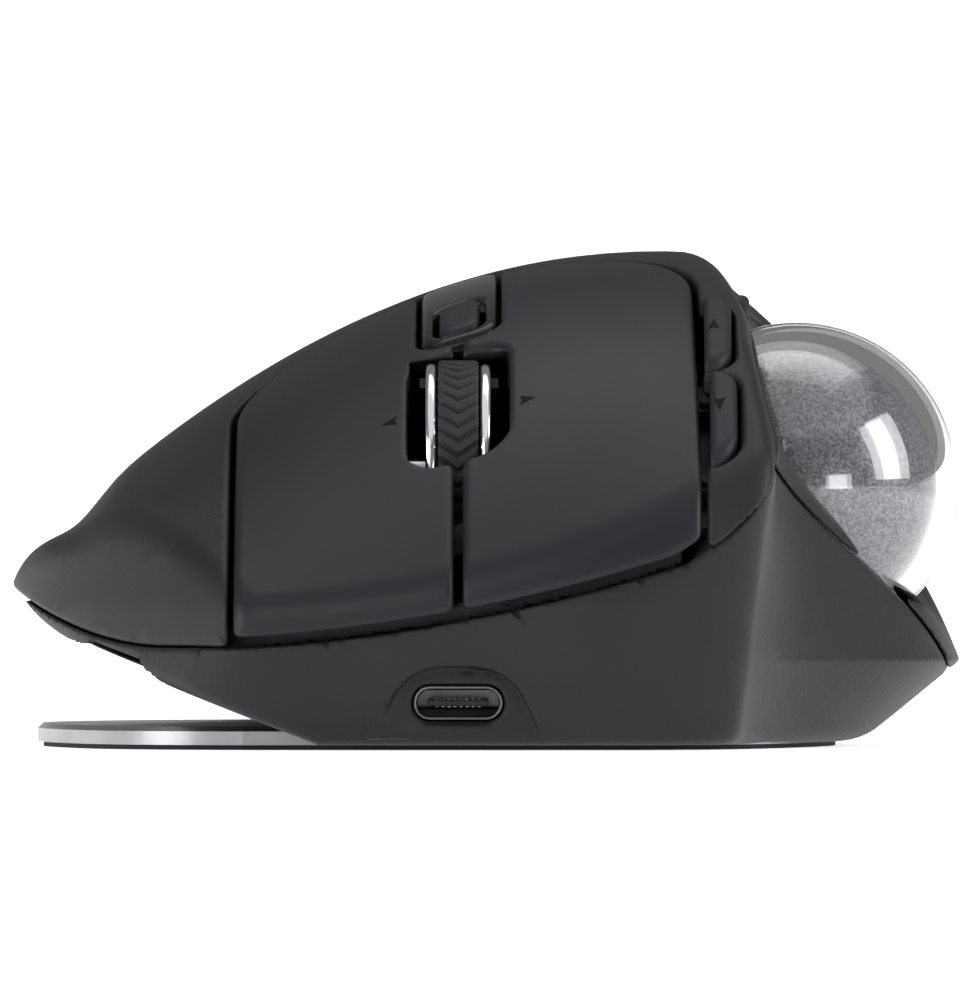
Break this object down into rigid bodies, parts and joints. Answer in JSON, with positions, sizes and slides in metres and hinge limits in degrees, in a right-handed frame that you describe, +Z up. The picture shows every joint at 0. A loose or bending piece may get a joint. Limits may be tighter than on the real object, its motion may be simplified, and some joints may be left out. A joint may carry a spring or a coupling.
{
  "type": "trackball mouse",
  "caption": "Right-handed pointing device: palm-high body on a tilting steel plate, thumb-turned ball, two wide keys, tilting scroll wheel, side keys and a charging port.",
  "frame": {"origin": "centre of the bounding box at the surface that the rubber pad stands on", "axes": "+Z up, -Y towards the front with the key lips and charging port, +X towards the thumb and ball"},
  "size_m": [0.0992, 0.1324, 0.0516],
  "materials": {
    "plate_steel": "brushed steel with a bright bevelled rim",
    "pad_rubber": "black soft rubber",
    "shell_grain": "dark graphite plastic with moulded leather grain",
    "shell_fine": "dark graphite plastic with fine grain",
    "panel_fine": "dark graphite soft-touch plastic",
    "button_smooth": "smooth dark blue-grey plastic",
    "gloss_strip": "glossy black plastic with a grey fade",
    "wheel_rubber": "dark ribbed rubber",
    "polished": "polished metal",
    "inner_plastic": "black moulded plastic",
    "white_plastic": "white acetal",
    "clear_ball": "clear polished resin",
    "ball_metallic": "grey metallic resin with fine flecks",
    "board_green": "green solder mask",
    "chip_black": "black moulded package",
    "steel": "bright steel",
    "magnet": "nickel-plated magnet",
    "cell_wrap": "silver battery wrap",
    "lens_clear": "clear lens",
    "ceramic": "white ceramic",
    "ribbon": "flat flexible cable"
  },
  "bodies": {
    "base": {"base_plate": "plate_steel", "base_pad": "pad_rubber"},
    "mouse_body": {"lower_shell": "shell_grain", "upper_shell": "shell_fine", "thumb_panel": "panel_fine", "case_screws": "steel", "body_magnets": "magnet", "inner_frame": "inner_plastic", "device_panel": "gloss_strip", "status_light": "lens_clear", "device_board": "board_green", "device_switch": "chip_black", "side_board": "board_green", "side_switches": "chip_black", "precision_switch": "chip_black", "middle_switch": "chip_black", "ball_cup": "inner_plastic", "ball_bearings": "ceramic", "sensor_lens": "lens_clear", "sensor_chip": "chip_black", "sensor_board": "board_green", "main_board": "board_green", "main_chips": "chip_black", "front_board": "board_green", "ribbon_cable": "ribbon", "left_switch": "chip_black", "right_switch": "chip_black", "battery": "cell_wrap", "battery_tray": "inner_plastic", "usb_shell": "steel", "usb_tongue": "chip_black", "usb_board": "board_green", "power_switch": "chip_black"},
    "left_button": {"left_button": "button_smooth"},
    "right_button": {"right_button": "button_smooth"},
    "device_button": {"device_button": "button_smooth"},
    "forward_button": {"forward_button": "shell_fine"},
    "back_button": {"back_button": "shell_fine"},
    "precision_button": {"precision_button": "shell_fine"},
    "wheel_carrier": {"wheel_carrier": "inner_plastic", "tilt_switches": "chip_black"},
    "wheel_cradle": {"wheel_cradle": "inner_plastic", "wheel_encoder": "chip_black"},
    "wheel": {"wheel_tyre": "wheel_rubber", "wheel_hub": "polished", "wheel_axle": "steel"},
    "ball_shell": {"ball_shell": "clear_ball"},
    "ball_core": {"ball_core": "ball_metallic"},
    "power_slider": {"power_slider": "white_plastic"}
  },
  "joints": [
    {"name": "body_tilt", "type": "hinge", "parent": "base", "child": "mouse_body", "pos_m": [-0.0172, 0, 0.00245], "axis": [0, -1, 0], "range_deg": [0, 20]},
    {"name": "left_click", "type": "hinge", "parent": "mouse_body", "child": "left_button", "pos_m": [0, -0.005, 0.044], "axis": [1, 0, 0], "range_deg": [0, 0.7], "stiffness_Nm_per_rad": 2.8},
    {"name": "right_click", "type": "hinge", "parent": "mouse_body", "child": "right_button", "pos_m": [0, -0.005, 0.044], "axis": [1, 0, 0], "range_deg": [0, 0.7], "stiffness_Nm_per_rad": 2.8},
    {"name": "device_press", "type": "slide", "parent": "mouse_body", "child": "device_button", "axis": [0, 0, -1], "range_m": [0, 0.0005], "stiffness_N_per_m": 1500},
    {"name": "forward_press", "type": "slide", "parent": "mouse_body", "child": "forward_button", "axis": [0, 0, -1], "range_m": [0, 0.00025], "stiffness_N_per_m": 1500},
    {"name": "back_press", "type": "slide", "parent": "mouse_body", "child": "back_button", "axis": [0, 0, -1], "range_m": [0, 0.00025], "stiffness_N_per_m": 1500},
    {"name": "precision_press", "type": "slide", "parent": "mouse_body", "child": "precision_button", "axis": [-1, 0, 0], "range_m": [0, 0.0004], "stiffness_N_per_m": 1500},
    {"name": "wheel_press", "type": "slide", "parent": "mouse_body", "child": "wheel_carrier", "axis": [0, 0, -1], "range_m": [0, 0.0006], "stiffness_N_per_m": 1200},
    {"name": "wheel_tilt", "type": "hinge", "parent": "wheel_carrier", "child": "wheel_cradle", "pos_m": [-0.0029, -0.0382, 0.0134], "axis": [0, 1, 0], "range_deg": [-3, 3], "stiffness_Nm_per_rad": 0.4},
    {"name": "wheel_spin", "type": "hinge", "parent": "wheel_cradle", "child": "wheel", "pos_m": [-0.0029, -0.0382, 0.0285], "axis": [1, 0, 0], "continuous": true},
    {"name": "ball_roll", "type": "hinge", "parent": "mouse_body", "child": "ball_shell", "pos_m": [0.0322, -0.008, 0.0271], "axis": [0, 1, 0], "continuous": true},
    {"name": "ball_pitch", "type": "hinge", "parent": "ball_shell", "child": "ball_core", "pos_m": [0.0322, -0.008, 0.0271], "axis": [0.7071, 0, -0.7071], "continuous": true},
    {"name": "power_slide", "type": "slide", "parent": "mouse_body", "child": "power_slider", "axis": [1, 0, 0], "range_m": [0, 0.003]}
  ]
}
